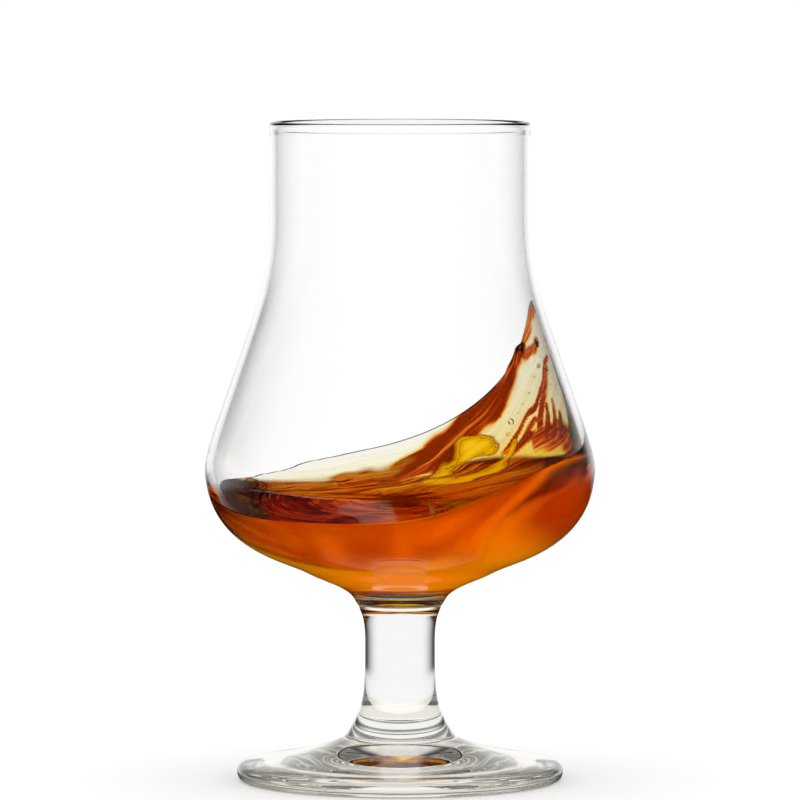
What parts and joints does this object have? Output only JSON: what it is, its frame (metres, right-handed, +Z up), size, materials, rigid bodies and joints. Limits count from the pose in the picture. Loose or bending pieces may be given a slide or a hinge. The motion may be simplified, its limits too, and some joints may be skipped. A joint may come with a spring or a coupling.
{
  "type": "tasting glass",
  "caption": "Tulip tasting glass with a straight mouth, short waisted stem and flared round foot, holding a measure of amber spirit caught mid-swirl.",
  "frame": {"origin": "centre of the foot on the surface the glass stands on", "axes": "+Z up along the axis of the glass; +X towards the crest of the swirling drink; +Y away from the picture's camera"},
  "size_m": [0.068, 0.068, 0.115],
  "materials": {
    "clear_glass": "clear, fire-polished glass",
    "spirit": "clear amber liquid with a wet surface"
  },
  "bodies": {
    "glass": {"bowl": "clear_glass", "stem": "clear_glass", "foot": "clear_glass"},
    "drink": {"drink": "spirit"}
  },
  "joints": [
    {"name": "drink_swirl", "type": "hinge", "parent": "glass", "child": "drink", "pos_m": [0, 0, 0.05], "axis": [0, 0, 1], "continuous": true}
  ]
}
